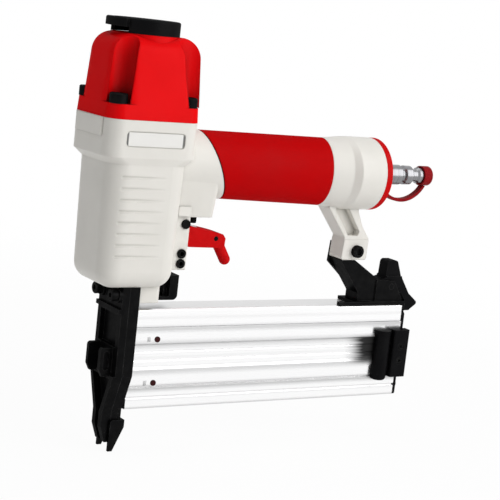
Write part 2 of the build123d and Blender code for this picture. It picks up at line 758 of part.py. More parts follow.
# Air plug: threaded root, hexagon, collar and the grooved nipple an air line clips onto
hex_end = tail_end + plug_hex_length
collar_stop = hex_end + plug_collar_length
plug_end = tail_end + plug_length
nipple = [
    (hex_end, 0),
    (hex_end, plug_collar_radius - 0.4),
    (hex_end + 0.4, plug_collar_radius),
    (collar_stop - 0.8, plug_collar_radius),
    (collar_stop, plug_collar_radius - 0.8),
    (collar_stop, plug_tip_radius - 0.6),
    (collar_stop + 2, plug_tip_radius - 0.6),
    (collar_stop + 3, plug_tip_radius + 0.9),
    (collar_stop + 7.6, plug_tip_radius + 0.9),
    (collar_stop + 9.2, plug_tip_radius - 1.1),
    (collar_stop + 12.6, plug_tip_radius - 1.1),
    (collar_stop + 13.8, plug_tip_radius),
    (plug_end - 0.6, plug_tip_radius),
    (plug_end, plug_tip_radius - 0.6),
    (plug_end, 0),
]
nipple_face = make_face(Polyline(*[(px, 0, tail_z + pr) for px, pr in nipple], close=True))
plug = revolve(nipple_face, axis=Axis((0, 0, tail_z), (1, 0, 0)))
hex_plane = Plane(origin=(tail_end, 0, tail_z), x_dir=(0, 1, 0), z_dir=(1, 0, 0))
plug += extrude(hex_plane * RegularPolygon(plug_hex / 2, 6, major_radius=False), amount=plug_hex_length)
plug += rod("X", plug_thread_radius, (thread_front, tail_end), (0, tail_z))
plug -= rod("X", plug_bore, (thread_front, plug_end), (0, tail_z))
save("air_plug", plug)

# Dust cap over the nipple, tethered by a strap that loops round the plug
dust_cap_radius = plug_tip_radius + 0.15 + dust_cap_wall
dust_cap_end = plug_end + sliding_gap + dust_cap_cover
dust_cap_span = (dust_cap_end - dust_cap_length, dust_cap_end)
dust_cap = rod("X", dust_cap_radius, dust_cap_span, (0, tail_z))
dust_cap = fillet(dust_cap.edges().group_by(Axis.X)[-1], 1)
dust_cap -= rod("X", plug_tip_radius + 0.15, (dust_cap_span[0], plug_end + sliding_gap), (0, tail_z))
save("dust_cap", dust_cap)
loop_x = hex_end + sliding_gap + strap_width / 2 - 0.4
loop_span = (hex_end + sliding_gap, loop_x + strap_width / 2 - 0.4)
strap_half = strap_width / 2
lug_x = dust_cap_span[0] + strap_width / 2
lug_z = tail_z - dust_cap_radius - seat_gap
loop_z = tail_z - strap_ring_radius
sag_z = min(lug_z, loop_z) - strap_sag
outer_arc = ThreePointArc(
    (loop_x - 1, 0, loop_z + 0.6),
    ((loop_x + lug_x) / 2, 0, sag_z),
    (lug_x + strap_thickness, 0, lug_z),
)
inner_arc = ThreePointArc(
    (lug_x, 0, lug_z),
    ((loop_x + lug_x) / 2, 0, sag_z + strap_thickness),
    (loop_x + strap_thickness - 1, 0, loop_z + 0.6),
)
strap_outline = [outer_arc, Line(outer_arc @ 1, inner_arc @ 0), inner_arc, Line(inner_arc @ 1, outer_arc @ 0)]
strap = extrude(Pos(0, -strap_half, 0) * make_face(Wire(strap_outline)), amount=strap_width, dir=(0, 1, 0))
loop = rod("X", strap_ring_radius, loop_span, (0, tail_z))
strap += loop
strap -= rod("X", plug_collar_radius + seat_gap, (tail_end, dust_cap_span[0]), (0, tail_z))
save("dust_strap", strap)

# Cross pins: the trigger's hinge and the two roll pins below it
save("trigger_pin", rod("Y", cross_pin_radius, (-pin_half, pin_half), cross_pins[0]))
guide_pin_bodies = [rod("Y", cross_pin_radius, (-pin_half, pin_half), place) for place in cross_pins[1:]]
pin_cores = [rod("Y", cross_pin_radius / 2, (-pin_half, pin_half), place) for place in cross_pins[1:]]
save("guide_pins", Compound([pin - core for pin, core in zip(guide_pin_bodies, pin_cores)]))

# Trigger: finger piece with a round hook, open on top for the lever that the contact trip lifts
trigger_outline = [
    (-2.5, -3.0),
    (6.1, -1.9),
    (22.7, -5.1),
    (28.0, -6.3),
    (29.9, -8.7),
    (29.6, -14.4),
    (6.1, -13.9),
]
trigger_points = [(trigger_x + dx, trigger_z + dz) for dx, dz in trigger_outline]
trigger_span = (-trigger_half_width, trigger_half_width)
trigger = slab_y(trigger_points, trigger_span)
rounded = trigger.edges().filter_by(Axis.Y).filter_by(lambda e: e.center().X > trigger_x + trigger_grip_start)
trigger = fillet(rounded, 0.9)
trigger += rod("Y", trigger_eye, trigger_span, (trigger_x, trigger_z))
hook_run = hook_tip[0] - hook_root[0]
hook_fall = hook_tip[1] - hook_root[1]
hook_start = Vector(trigger_x + hook_root[0], 0, trigger_z - hook_root[1])
hook_plane = Plane(origin=hook_start, x_dir=(0, 1, 0), z_dir=(hook_run, 0, -hook_fall))
hook_length = math.hypot(hook_run, hook_fall)
hook = extrude(hook_plane * Circle(hook_radius), amount=hook_length)
trigger += hook + hook_plane * Pos(0, 0, hook_length) * Sphere(hook_radius)
slot_floor = lever_z - lever_eye - 0.6
slot_rear = lever_x + lever_eye + 0.6
slot_span = (-lever_slot_half_width, lever_slot_half_width)
trigger -= block((bay_front, slot_rear), slot_span, (slot_floor, valve_housing_bottom))
trigger -= rod("Y", cross_pin_radius + running_gap, trigger_span, (trigger_x, trigger_z))
trigger -= rod("Y", lever_pin_radius + seat_gap, trigger_span, (lever_x, lever_z))
save("trigger", trigger)
save("lever_pin", rod("Y", lever_pin_radius, trigger_span, (lever_x, lever_z)))

# Trigger lever, hinged in the trigger, with the pad that meets the valve stem
lever_span = (-lever_half_width, lever_half_width)
lever_front = finger_front + 1
lever_low = lever_z + 0.9
lever_high = lever_low + lever_thickness
stem_bottom = valve_housing_bottom - stem_below
pad_top = stem_bottom - 2
lever_points = [
    (lever_front, lever_low),
    (lever_x, lever_z - lever_eye / 2),
    (lever_x, lever_z + lever_eye),
    (valve_x + 3, lever_high + 0.8),
    (valve_x + 2, pad_top),
    (valve_x - 2, pad_top),
    (valve_x - 4, lever_high),
    (lever_front, lever_high),
]
lever = slab_y(lever_points, lever_span) + rod("Y", lever_eye, lever_span, (lever_x, lever_z))
lever -= rod("Y", lever_pin_radius + running_gap, lever_span, (lever_x, lever_z))
save("trigger_lever", lever)

# Trigger valve: body, its ring, the stem the lever pushes, and the stem's spring
valve_low = valve_housing_bottom - 0.5
valve_high = valve_low + valve_length
valve_body = rod("Z", valve_radius, (valve_low, valve_high), (valve_x, 0))
valve_ring_z = (valve_low + valve_high) / 2
valve_seat = valve_radius - 2 * ring_radius
valve_slot = (valve_ring_z - ring_radius - seat_gap, valve_ring_z + ring_radius + seat_gap)
valve_body -= tube("Z", valve_radius + 1, valve_seat - seat_gap, valve_slot, (valve_x, 0))
valve_body -= rod("Z", stem_radius + running_gap, (valve_low, valve_high), (valve_x, 0))
save("valve_body", valve_body)
save("valve_ring", Pos(valve_x, 0, valve_ring_z) * Torus(valve_seat + ring_radius, ring_radius))
stem_collar_low = valve_high + sliding_gap
stem_collar_high = stem_collar_low + stem_collar
stem = rod("Z", stem_radius, (stem_bottom, stem_collar_high), (valve_x, 0))
stem += rod("Z", stem_collar_radius, (stem_collar_low, stem_collar_high), (valve_x, 0))
save("valve_stem", fillet(stem.edges().group_by(Axis.Z)[0], 0.6))
valve_coil = coil(valve_coil_radius, valve_wire, valve_roof - stem_collar_high, 4.5)
save("valve_spring", Pos(valve_x, 0, stem_collar_high) * valve_coil)

# Nose guide: the rear half of the nose, with the blade's channel, the brads' slot and grooves
# for the contact strips
nose_top = barrel_bottom - flat_gap
foot_inner = nose_tip_half_width + sliding_gap
foot_outer = foot_inner + foot_cheek
shoulder_z = foot_height + contact_travel + 0.5
nose_outline = [
    (-nose_half_width, nose_top),
    (nose_half_width, nose_top),
    (nose_half_width, nose_taper_top),
    (nose_tip_half_width, shoulder_z),
    (nose_tip_half_width, nose_exit),
    (-nose_tip_half_width, nose_exit),
    (-nose_tip_half_width, shoulder_z),
    (-nose_half_width, nose_taper_top),
]
guide = slab_x(nose_outline, (nose_split, nose_rear))
blade_channel = blade_half[1] + sliding_gap
guide -= block((nose_split, -nose_split), (-blade_channel, blade_channel), (nose_exit, nose_top))
guide -= block((-nose_split, nose_rear), (-brad_slot, brad_slot), (magazine_bottom, blade_rest))
strip_front = nose_rear - strip_cover - strip_thickness
groove_side = block(
    (strip_front - sliding_gap, nose_rear),
    (prong_inner - sliding_gap, prong_outer + sliding_gap),
    (nose_exit, channel_top),
)
guide -= both_sides(groove_side)
tip_rear = nose_rear + sliding_gap
tip_slope = [(2.2, nose_exit), (tip_rear, nose_exit), (tip_rear, nose_exit + 6.5)]
guide -= slab_y(tip_slope, (-nose_half_width, nose_half_width))
screw_lines = [(side * nose_screw_y, nose_screw_z) for side in (-1, 1)]
rail_screw_z = (rail_bottom + rail_top) / 2
rail_lines = [(side * rail_screw_y, rail_screw_z) for side in (-1, 1)]
rail_screw_seat = nose_split + small_head_height + seat_gap
for line in screw_lines:
    guide -= rod("X", m4_radius + seat_gap, (nose_split, nose_rear), line)
for line in rail_lines:
    guide -= rod("X", small_screw_radius + seat_gap, (nose_split, nose_rear), line)
    guide -= rod("X", small_head_radius + seat_gap, (nose_split, rail_screw_seat), line)
save("nose_guide", guide)

# Front plate of the nose: framed pockets, a lip, two pocketed ears and the bosses of its screws
front_plate = slab_x(nose_outline, (nose_front, nose_split))
pocket_span = (nose_front, nose_front + front_pocket)
window_half = nose_half_width - front_rim
front_plate -= block(pocket_span, (-window_half, window_half), (window_bottom, window_top))
tip_half = nose_tip_half_width - front_rim
pocket_low = [
    (-window_half, crossbar_bottom),
    (window_half, crossbar_bottom),
    (tip_half, shoulder_z - 1),
    (tip_half, nose_exit),
    (-tip_half, nose_exit),
    (-tip_half, shoulder_z - 1),
]
keel_top = crossbar_bottom + 2
keel = slab_x(nose_outline, (nose_front - keel_reach, nose_front))
keel_front = nose_front - keel_reach
nose_width = (-nose_half_width, nose_half_width)
front_plate += keel - block((keel_front, nose_front), nose_width, (keel_top, nose_top))
front_plate -= slab_x(pocket_low, (keel_front, pocket_span[1]))
tip_bevel = [
    (keel_front, nose_exit),
    (nose_front + keel_reach, nose_exit),
    (keel_front, nose_exit + keel_bevel),
]
front_plate -= slab_y(tip_bevel, (-nose_half_width, nose_half_width))
lip_low = window_top + 1.5
front_plate += block((nose_front - lip_reach, nose_front), nose_width, (lip_low, lip_low + lip_height))
for line in screw_lines:
    front_plate += rod("X", nose_boss_radius, (nose_front - nose_boss_reach, nose_front), line)
ear_points = [
    (nose_front + 1, ear_bottom),
    (nose_front - ear_reach + 2, ear_bottom),
    (nose_front - ear_reach, ear_bottom + 4),
    (nose_front - ear_reach, ear_bottom + ear_height),
    (nose_front + 1, ear_bottom + ear_height),
]
ear_side = slab_y(ear_points, (ear_offset - ear_thickness / 2, ear_offset + ear_thickness / 2))
ear_side = fillet(ear_side.edges().filter_by(Axis.Y).group_by(Axis.X)[0], 1.8)
ear_slot = block(
    (nose_front - ear_reach + 2.2, nose_front - 2),
    (ear_offset, ear_offset + ear_thickness),
    (ear_bottom + 3.5, ear_bottom + ear_height - 2.2),
)
front_plate += both_sides(ear_side - fillet(ear_slot.edges().filter_by(Axis.Y), 1.5))
for line in screw_lines:
    front_plate -= rod("X", m4_radius + seat_gap, (nose_front - nose_boss_reach, nose_split), line)
save("nose_front_plate", front_plate)
nose_screw = Rot(0, -90, 0) * screw(m4_head_radius, m4_head_height, m4_radius, nose_screw_length, m4_socket)
nose_screw_seat = nose_front - nose_boss_reach
save("nose_screws", Compound([Pos(nose_screw_seat, y, z) * nose_screw for y, z in screw_lines]))

# Contact foot: a saddle round the nose tip, carried by two strips behind the guide
foot_back = nose_rear + sliding_gap
foot_end = foot_back + foot_rear_wall
foot_points = [
    (foot_front, 0),
    (foot_tip_rear, 0),
    (foot_end, foot_slope_top),
    (foot_end, foot_height),
    (nose_split, foot_height),
    (foot_front, foot_height - 1),
]
foot = slab_y(foot_points, (-foot_outer, foot_outer))
foot -= block((nose_front, foot_back), (-foot_inner, foot_inner), (0, foot_height))
yoke_bottom = mount_bottom + sliding_gap
bridge_low = foot_height - 6
strip_run = (strip_front, nose_rear - strip_cover)
strip_side = block(strip_run, (prong_inner, prong_outer), (bridge_low, yoke_bottom))
strip_side += block((strip_front, foot_end), (prong_inner, prong_outer), (bridge_low, foot_height))
foot += both_sides(strip_side)
save("contact_foot", foot)

# Contact yoke: prongs on the strips, a rear plate under the trigger web and the finger
# that lifts the trigger lever
yoke_deck = yoke_bottom + prong_thickness
yoke_start = mount_rear + sliding_gap
prong_side = block((strip_front, yoke_start), (prong_inner, prong_outer), (yoke_bottom, yoke_deck))
yoke = both_sides(prong_side)
yoke += block((yoke_start, yoke_rear), (-yoke_half_width, yoke_half_width), (yoke_bottom, yoke_deck))
rear_plate = block((yoke_front, yoke_rear), (-yoke_half_width, yoke_half_width), (yoke_bottom, yoke_top))
low_rear = rear_plate.edges().filter_by(Axis.Y).group_by(Axis.Z)[0].sort_by(Axis.X)[-1]
yoke += fillet(low_rear, yoke_rounding)
yoke_span = (-yoke_half_width, yoke_half_width)
rear_corner = block((yoke_rear - yoke_rounding, yoke_rear), yoke_span, (yoke_bottom, yoke_deck))
yoke -= rear_corner - fillet(low_rear, yoke_rounding)
finger_span = (finger_front, finger_front + finger_thickness)
yoke += block(finger_span, (-finger_half_width, finger_half_width), (yoke_bottom, finger_top))
yoke += block((finger_front, yoke_front), (-finger_half_width, finger_half_width), (yoke_deck, yoke_deck + 4))
save("contact_yoke", yoke)
contact_coil = coil(contact_coil_radius, contact_wire, contact_coil_top - yoke_deck, 5)
save("contact_spring", Pos(contact_coil_x, 0, yoke_deck) * contact_coil)

# Magazine rail: a beam with two undercut grooves that the cover hangs in, and the fin that backs the brads
rail_front = nose_rear + flat_gap
fin_bottom = magazine_bottom + cover_floor + sliding_gap
rail = block((rail_front, rail_rear), (-rail_half_width, rail_half_width), (rail_bottom, rail_top))
rail = chamfer(rail.edges().filter_by(Axis.X).group_by(Axis.Z)[-1], 1)
rail += block((rail_front, rail_rear), (fin_near, fin_far), (fin_bottom, rail_top))
neck_half = tongue_neck / 2
head_half = tongue_head / 2
neck_top = cover_top + tongue_neck_height
head_top = neck_top + tongue_head_height
neck_room = neck_half + sliding_gap
head_room = head_half + sliding_gap
undercut_side = (tongue_y - neck_room, tongue_y + neck_room)
undercut = block((rail_front, rail_rear), undercut_side, (rail_bottom, neck_top))
undercut += block(
    (rail_front, rail_rear),
    (tongue_y - head_room, tongue_y + head_room),
    (neck_top - sliding_gap, head_top + sliding_gap),
)
rail -= both_sides(undercut)
for line in rail_lines:
    thread_end = rail_screw_seat + rail_screw_length + 0.5
    rail -= rod("X", small_screw_radius + seat_gap, (rail_front, thread_end), line)
bracket_screw_x = (latch_x - 8, latch_x + 6)
bracket_screw_depth = rail_height / 2 - 1
for hole_x in bracket_screw_x:
    rail -= rod("Z", small_screw_radius + seat_gap, (rail_top - bracket_screw_depth, rail_top), (hole_x, 0))
save("magazine_rail", rail)
rail_screw = Rot(0, -90, 0) * small_screw(rail_screw_length)
save("rail_screws", Compound([Pos(rail_screw_seat, y, z) * rail_screw for y, z in rail_lines]))

# Magazine cover: sliding extrusion with stepped sides, two tongues that hang in the rail,
# and the pusher's channel
cover_front = rail_front + flat_gap
cover_span = (cover_front, cover_rear)
band_low, band_mid, band_high, band_top = [magazine_bottom + rise for rise in band_heights]
near_face = cover_half_width
inset_face = cover_half_width - step_depth
side_profile = [
    (0, magazine_bottom),
    (inset_face, magazine_bottom),
    (near_face, magazine_bottom + step_depth),
    (near_face, band_low),
    (inset_face, band_low),
    (inset_face, band_low + band_groove),
    (near_face, band_low + band_groove),
    (near_face, band_high),
    (inset_face, band_high + step_depth),
    (inset_face, band_top - step_depth),
    (near_face, band_top),
    (near_face, cover_top),
    (0, cover_top),
]
side_slab = slab_x(side_profile, cover_span)
groove_rise = (band_mid - band_groove / 2, band_mid + band_groove / 2)
side_slab -= block(cover_span, (inset_face, near_face), groove_rise)
for rib in (1, 2):
    fine_line = band_high + rib * (band_top - band_high) / 3
    side_slab -= block(cover_span, (inset_face - 0.4, inset_face), (fine_line - 0.3, fine_line + 0.3))
cover = both_sides(side_slab)
fin_room = fin_far + sliding_gap
cover -= block(cover_span, (-brad_slot, fin_room), (magazine_bottom + cover_floor, cover_top))
tongue = block(cover_span, (tongue_y - neck_half, tongue_y + neck_half), (cover_top, neck_top))
tongue += block(cover_span, (tongue_y - head_half, tongue_y + head_half), (neck_top, head_top))
cover += both_sides(tongue)
channel_span = (-pusher_channel_depth, -brad_slot)
cover -= block(cover_span, channel_span, (pusher_channel_bottom, pusher_channel_top))
rivet_places = [(rivet_x, magazine_bottom + rise) for rise in rivet_heights]
rivet_tip = rivet_length - cover_half_width
for place_x, place_z in rivet_places:
    rivet_hole = (-cover_half_width, rivet_tip + seat_gap)
    cover -= rod("Y", rivet_radius / 2 + seat_gap, rivet_hole, (place_x, place_z))
    punch_x = place_x - punch_offset
    cover -= block(
        (punch_x - punch_width / 2, punch_x + punch_width / 2),
        (-cover_half_width, punch_depth - cover_half_width),
        (place_z - punch_height / 2, place_z + punch_height / 2),
    )
block_screws_at = [(block_screw_x, z) for z in block_screw_heights]
block_face = -cover_half_width - block_reach
block_screw_seat = block_face + small_head_height + flat_gap
block_screw_tip = block_screw_seat + block_screw_length
for place in block_screws_at:
    cover -= rod("Y", small_screw_radius + seat_gap, (-cover_half_width, block_screw_tip + seat_gap), place)
plate_screw_lines = [
    (-tongue_y, magazine_bottom + plate_screw_low),
    (cover_half_width - plate_screw_inset, magazine_bottom + plate_screw_high),
]
for line in plate_screw_lines:
    cover -= rod("X", small_screw_radius + seat_gap, (cover_rear - plate_screw_length, cover_rear), line)
save("magazine_cover", cover)
rivet = rod("Y", rivet_radius, (-cover_half_width - rivet_proud, -cover_half_width), (0, 0))
rivet += rod("Y", rivet_radius / 2, (-cover_half_width, rivet_tip), (0, 0))
save("cover_rivets", Compound([Pos(x, 0, z) * rivet for x, z in rivet_places]))

# End plate of the cover and the finger block that pulls it open
plate_span = (cover_rear, cover_rear + end_plate_thickness)
end_plate = block(plate_span, (-cover_half_width, cover_half_width), (magazine_bottom, head_top))
end_plate = fillet(end_plate.edges().filter_by(Axis.X), 1.5)
for line in plate_screw_lines:
    end_plate -= rod("X", small_screw_radius + seat_gap, plate_span, line)
save("cover_end_plate", end_plate)
plate_screw = Rot(0, 90, 0) * small_screw(plate_screw_length)
save("end_plate_screws", Compound([Pos(plate_span[1], y, z) * plate_screw for y, z in plate_screw_lines]))
finger_block = block((block_shoulder, block_rear), (block_face, -cover_half_width), (block_bottom, block_top))
finger_block = fillet(finger_block.edges().filter_by(Axis.Z).group_by(Axis.Y)[0], 1.2)
roll_middle = (block_front + block_roll, -cover_half_width - 1)
finger_roll = rod("Z", block_roll, (block_bottom - block_roll_drop, block_top - 0.5), roll_middle)
finger_roll = fillet(finger_roll.edges().group_by(Axis.Z)[0], 2)
finger_block += finger_roll & block(
    (block_front - 1, block_rear),
    (block_face - 2, -cover_half_width),
    (block_bottom - block_roll, block_top),
)
bridge_y = (-cover_half_width - 2.2, -cover_half_width)
finger_block += block((block_front + block_roll, block_shoulder), bridge_y, (block_bottom, block_top - 0.5))
for place in block_screws_at:
    finger_block -= rod("Y", small_screw_radius + seat_gap, (block_face, -cover_half_width), place)
    finger_block -= rod("Y", small_head_radius + seat_gap, (block_face, block_screw_seat), place)
save("finger_block", finger_block)
block_screw = Rot(90, 0, 0) * small_screw(block_screw_length)
save("block_screws", Compound([Pos(x, block_screw_seat, z) * block_screw for x, z in block_screws_at]))

# Pusher that feeds the brads, with its rolled ribbon spring
pusher_front = cover_front + 1.5
carriage_rear = pusher_front + pusher_length
carriage_y = (sliding_gap - pusher_channel_depth, -brad_slot - sliding_gap)
carriage_z = (pusher_channel_bottom + sliding_gap, pusher_channel_top - sliding_gap)
finger_half = brad_slot - sliding_gap
pusher = block((pusher_front, carriage_rear), carriage_y, carriage_z)
plate_x = (pusher_front, pusher_front + pusher_plate)
pusher += block(plate_x, (carriage_y[0], finger_half), carriage_z)
pusher += block(plate_x, (-finger_half, finger_half), (pusher_plate_bottom, pusher_plate_top))
roll_x = carriage_rear - feed_roll_radius - 1.2
roll_z = carriage_z[0] + 1 + feed_roll_radius
roll_y = (carriage_y[0] + 0.8, carriage_y[1] - 0.8)
roll_room = feed_roll_radius + sliding_gap
pocket_y = (roll_y[0] - sliding_gap, roll_y[1] + sliding_gap)
pusher -= rod("Y", roll_room, pocket_y, (roll_x, roll_z))
ribbon_z = roll_z + feed_roll_radius
pusher -= block((pusher_front, roll_x), pocket_y, (roll_z + feed_roll_hole, carriage_z[1]))
save("pusher", pusher)
feed_spring = tube("Y", feed_roll_radius, feed_roll_hole, roll_y, (roll_x, roll_z))
feed_spring += block((cover_front, roll_x), roll_y, (ribbon_z - feed_ribbon, ribbon_z))
save("feed_spring", feed_spring)

# Rear bracket: stands on the rail, meets the arm of the end cap and carries the latch between two cheeks
bracket_top = arm_foot - 0.3
deck = rail_top + bracket_base
bracket_points = [
    (bolt_x - bracket_neck, bracket_top),
    (bolt_x + 0.4, bracket_top),
    (latch_x - 11.3, latch_z + 5),
    (latch_x - 11.3, rail_top),
    (bolt_x + 5.6, rail_top),
    (bolt_x + 5.6, rail_top + 6.8),
]
bracket = slab_y(bracket_points, (-arm_half_width, arm_half_width))
base_span = (bolt_x + 2.1, rail_rear + bracket_flange)
bracket += block(base_span, (-bracket_half_width, bracket_half_width), (rail_top, deck))
flange_span = (rail_rear + seat_gap, base_span[1])
bracket += block(flange_span, (-bracket_half_width, bracket_half_width), (head_top + 2 * sliding_gap, deck))
tongue_front = base_span[0] - bracket_tongue
tongue_side = (-bracket_half_width, bracket_tongue_width - bracket_half_width)
bracket += block((tongue_front, base_span[0]), tongue_side, (rail_top, deck))
cheek_points = [
    (latch_x - 12, rail_top),
    (latch_x - 12, latch_z + 4.4),
    (latch_x + 2, latch_z + 3.4),
    (latch_x + 9, deck + 1),
    (latch_x + 9, rail_top),
]
cheek_inner = latch_half_width + sliding_gap
cheek_outer = cheek_inner + bracket_plate
bracket += both_sides(slab_y(cheek_points, (cheek_inner, cheek_outer)))
far_plate = (arm_half_width, arm_half_width + bracket_plate)
plate_points = [
    (bolt_x - bracket_neck, bracket_top - 3),
    (bolt_x - bracket_neck + 1, bolt_z + 4),
    (bolt_x + 8, bolt_z + 4),
    (bolt_x + 8, bracket_top - 5),
    (bolt_x + 8, bracket_top - 14),
    (bolt_x, bracket_top - 12),
]
bracket += slab_y(plate_points, far_plate)
bolt_line = (bolt_x, bolt_z)
bracket -= rod("Y", m5_radius + seat_gap, far_plate, bolt_line)
latch_line = (latch_x, latch_z)
bracket -= rod("Y", latch_pin_radius + seat_gap, (-cheek_outer, cheek_outer), latch_line)
for hole_x in bracket_screw_x:
    bracket -= rod("Z", small_screw_radius + seat_gap, (rail_top, deck), (hole_x, 0))
save("rear_bracket", bracket)
bracket_screw = small_screw(bracket_base + bracket_screw_depth - sliding_gap)
save("bracket_screws", Compound([Pos(x, 0, deck) * bracket_screw for x in bracket_screw_x]))
bolt_length = 2 * arm_half_width + bracket_plate + nut_height
arm_bolt = Rot(90, 0, 0) * screw(bolt_head_radius, m5_head_height * 0.6, m5_radius, bolt_length, m5_socket)
save("arm_bolt", Pos(bolt_x, -arm_half_width, bolt_z) * arm_bolt)
nut_plane = Plane(origin=(bolt_x, far_plate[1], bolt_z), x_dir=(1, 0, 0), z_dir=(0, 1, 0))
nut = extrude(nut_plane * RegularPolygon(nut_width / 2, 6, major_radius=False), amount=nut_height)
nut -= rod("Y", m5_radius + seat_gap, (far_plate[1], far_plate[1] + nut_height), bolt_line)
save("arm_nut", nut)

# Latch lever that holds the cover shut, its hinge pin and torsion spring
hook_low = head_top + hook_clearance
hook_drop = latch_z - hook_low
latch_outline = [
    (-9.3, -1.0),
    (-9.3, 3.2),
    (-3.0, 5.0),
    (-2.4, latch_finger_height),
    (5.0, latch_finger_height),
    (9.4, 4.8),
    (16.0, -5.0),
    (latch_reach, -11.1),
    (18.5, -15.0),
    (17.5, -hook_drop),
    (13.4, -hook_drop),
    (13.4, -9.0),
    (10.0, -4.8),
    (-5.0, -3.4),
]
latch_points = [(latch_x + dx, latch_z + dz) for dx, dz in latch_outline]
latch_span = (-latch_half_width, latch_half_width)
latch = slab_y(latch_points, latch_span)
finger_edges = latch.edges().filter_by(Axis.Y).filter_by(lambda e: e.center().Z > latch_z + latch_finger_foot)
latch = fillet(finger_edges, 2.2)
latch = fillet(latch.edges().filter_by(Axis.Y).sort_by(Axis.X)[-1], 1.5)
latch -= both_sides(
    block(
        (latch_x - latch_reach, latch_x + latch_reach),
        (latch_finger_half_width, 2 * latch_half_width),
        (latch_z + latch_finger_foot, latch_z + 2 * latch_finger_height),
    )
)
notch_room = latch_coil_radius + latch_wire
latch -= block(
    (latch_x - notch_room, latch_x + notch_room),
    (-latch_notch - sliding_gap, latch_notch + sliding_gap),
    (latch_z - 2 * notch_room, latch_z + notch_room),
)
latch -= rod("Y", latch_pin_radius + running_gap, latch_span, latch_line)
save("latch_lever", latch)
save("latch_pin", rod("Y", latch_pin_radius, (-cheek_outer, cheek_outer), latch_line))
latch_coil = Rot(90, 0, 0) * coil(latch_coil_radius, latch_wire, 2 * latch_notch, 3)
save("latch_spring", Pos(latch_x, latch_notch, latch_z) * latch_coil)
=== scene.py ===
import json
import math

import bpy
from mathutils import Matrix, Vector


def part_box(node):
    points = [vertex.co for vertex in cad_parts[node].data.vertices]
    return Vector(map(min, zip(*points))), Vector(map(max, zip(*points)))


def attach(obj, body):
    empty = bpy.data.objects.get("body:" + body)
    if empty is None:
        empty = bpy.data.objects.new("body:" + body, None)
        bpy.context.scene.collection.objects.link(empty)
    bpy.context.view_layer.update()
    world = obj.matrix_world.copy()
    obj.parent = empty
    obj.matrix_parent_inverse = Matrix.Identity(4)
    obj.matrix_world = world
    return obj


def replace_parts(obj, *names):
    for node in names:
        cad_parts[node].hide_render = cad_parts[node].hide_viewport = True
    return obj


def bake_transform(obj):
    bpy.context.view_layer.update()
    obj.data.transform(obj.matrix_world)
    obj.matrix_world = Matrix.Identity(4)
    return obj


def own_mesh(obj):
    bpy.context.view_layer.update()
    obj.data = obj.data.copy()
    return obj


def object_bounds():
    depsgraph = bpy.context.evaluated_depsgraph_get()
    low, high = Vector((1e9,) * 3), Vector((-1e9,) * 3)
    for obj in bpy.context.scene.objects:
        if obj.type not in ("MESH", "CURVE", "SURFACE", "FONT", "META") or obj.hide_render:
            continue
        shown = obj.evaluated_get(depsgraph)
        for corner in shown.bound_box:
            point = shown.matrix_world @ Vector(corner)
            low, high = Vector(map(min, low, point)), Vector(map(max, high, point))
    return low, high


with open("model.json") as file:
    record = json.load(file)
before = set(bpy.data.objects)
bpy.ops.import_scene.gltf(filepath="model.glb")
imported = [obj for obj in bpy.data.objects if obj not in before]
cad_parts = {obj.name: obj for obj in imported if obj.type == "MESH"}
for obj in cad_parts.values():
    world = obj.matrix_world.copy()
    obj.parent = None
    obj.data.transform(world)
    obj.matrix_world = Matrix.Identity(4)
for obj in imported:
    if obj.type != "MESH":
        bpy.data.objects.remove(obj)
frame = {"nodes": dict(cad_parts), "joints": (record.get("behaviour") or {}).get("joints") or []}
cad_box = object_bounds()
nodes = frame["nodes"]

# Camera: it stands to the front left of the nailer, just above its top, and has a long lens.
# The nailer leans in the picture, so the camera is rolled about its own axis.
view_azimuth = math.radians(-33)
view_height = math.radians(9.436)
view_roll = math.radians(6.407)
view_target = Vector((0.08331, 0, 0.11524))
view_distance = 0.8808
backward = Vector((
    math.sin(view_azimuth) * math.cos(view_height),
    -math.cos(view_azimuth) * math.cos(view_height),
    math.sin(view_height),
))
level_right = (-backward).cross(Vector((0, 0, 1))).normalized()
level_up = level_right.cross(-backward)
picture_right = math.cos(view_roll) * level_right + math.sin(view_roll) * level_up
picture_up = math.cos(view_roll) * level_up - math.sin(view_roll) * level_right
turn = Matrix((picture_right, picture_up, backward)).transposed().to_4x4()
lens = bpy.data.cameras.new("photo_camera")
lens.sensor_width = 36
lens.lens = 107.9
lens.clip_start = 0.01
camera = bpy.data.objects.new("photo_camera", lens)
scene = bpy.context.scene
scene.collection.objects.link(camera)
camera.matrix_world = Matrix.Translation(view_target + backward * view_distance) @ turn
scene.camera = camera


# Body housing: barrel, head block, handle and trigger web in one aluminium die casting.
# It is sprayed with a warm white satin paint that has a fine orange peel and greys a little in patches.
class Reading:
    """A number or a colour that changes over a surface: one output of a node."""

    def __init__(self, graph, socket):
        self.graph = graph
        self.socket = socket

    def maths(self, operation, first, second):
        return self.graph.node("ShaderNodeMath", {"operation": operation}, {0: first, 1: second})

    def __add__(self, other):
        return self.maths("ADD", self, other)

    def __radd__(self, other):
        return self.maths("ADD", other, self)

    def __sub__(self, other):
        return self.maths("SUBTRACT", self, other)

    def __rsub__(self, other):
        return self.maths("SUBTRACT", other, self)

    def __mul__(self, other):
        return self.maths("MULTIPLY", self, other)

    def __rmul__(self, other):
        return self.maths("MULTIPLY", other, self)

    def __abs__(self):
        return self.maths("ABSOLUTE", self, 0.0)


class Graph:
    """The nodes of one material or of the world. Every node comes from the method node."""

    def __init__(self, owner):
        owner.use_nodes = True
        self.tree = owner.node_tree

    def node(self, kind, settings, sockets, output=0):
        made = self.tree.nodes.new(kind)
        for setting, value in settings.items():
            if setting == "stops":
                for stop, (position, level) in zip(made.color_ramp.elements, value):
                    stop.position = position
                    stop.color = (level, level, level, 1)
            else:
                setattr(made, setting, value)
        for socket, value in sockets.items():
            if isinstance(value, Reading):
                self.tree.links.new(value.socket, made.inputs[socket])
            else:
                made.inputs[socket].default_value = value
        return Reading(self, made.outputs[output])


